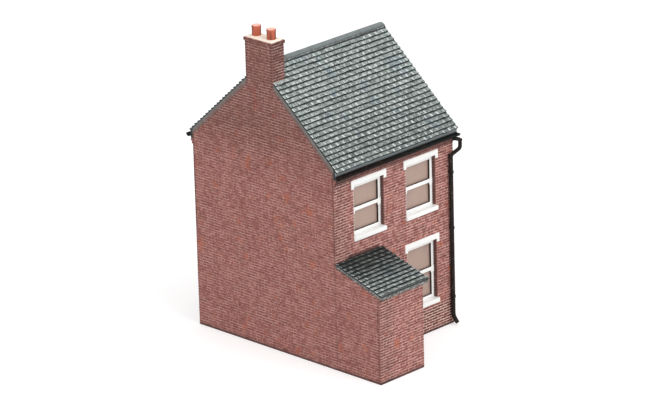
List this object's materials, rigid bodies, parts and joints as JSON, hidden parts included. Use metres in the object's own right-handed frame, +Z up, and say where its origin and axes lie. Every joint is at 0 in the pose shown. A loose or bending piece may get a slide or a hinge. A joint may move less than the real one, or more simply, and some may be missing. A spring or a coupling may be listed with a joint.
{
  "type": "model terraced house",
  "caption": "Small painted model of a two-storey brick end-of-terrace house: slate roof, gable chimney, sash windows, gutters, lean-to outhouse.",
  "frame": {"origin": "on the ground at the middle of the main block, which is the middle of the ground floor's underside", "axes": "+Z up; +X towards the chimney gable, -X towards the party wall; +Y towards the back yard and outhouse, -Y towards the street"},
  "size_m": [0.0626, 0.0928, 0.1168],
  "materials": {
    "brickwork": "painted resin, matt, moulded brick courses",
    "floor_resin": "bare resin, matt",
    "slate": "painted resin, matt, dry-brushed slates",
    "ridge": "painted resin, matt",
    "flaunching": "painted resin, matt",
    "terracotta": "painted resin, matt",
    "black_paint": "painted, satin black",
    "white_paint": "painted, satin white",
    "pane": "painted, opaque, slight sheen",
    "green_paint": "painted, satin",
    "brown_paint": "painted, satin",
    "stone_paint": "painted resin, matt"
  },
  "bodies": {
    "root": {"gable_wall": "brickwork", "party_wall": "brickwork", "yard_wall": "brickwork", "street_wall": "brickwork", "yard_corbel": "brickwork", "street_corbel": "brickwork", "ground_floor": "floor_resin", "yard_slope": "slate", "street_slope": "slate", "ridge_cap": "ridge", "chimney_stack": "brickwork", "chimney_band": "brickwork", "flaunching": "flaunching", "yard_pot": "terracotta", "street_pot": "terracotta", "yard_gutter": "black_paint", "street_gutter": "black_paint", "yard_downpipe": "black_paint", "street_downpipe": "black_paint", "outhouse_gable_wall": "brickwork", "outhouse_end_wall": "brickwork", "outhouse_side_wall": "brickwork", "outhouse_roof": "slate", "outhouse_door": "brown_paint", "outhouse_lintel": "white_paint", "yard_lintels": "white_paint", "yard_sills": "white_paint", "street_lintels": "white_paint", "street_sills": "white_paint", "yard_upper_gable_sash": "white_paint", "yard_upper_party_sash": "white_paint", "yard_lower_sash": "white_paint", "yard_upper_gable_pane": "pane", "yard_upper_party_pane": "pane", "yard_lower_pane": "pane", "street_upper_gable_sash": "white_paint", "street_upper_party_sash": "white_paint", "street_lower_sash": "white_paint", "street_upper_gable_pane": "pane", "street_upper_party_pane": "pane", "street_lower_pane": "pane", "front_door": "green_paint", "door_frame": "white_paint", "fanlight": "pane", "door_step": "stone_paint"}
  },
  "joints": []
}
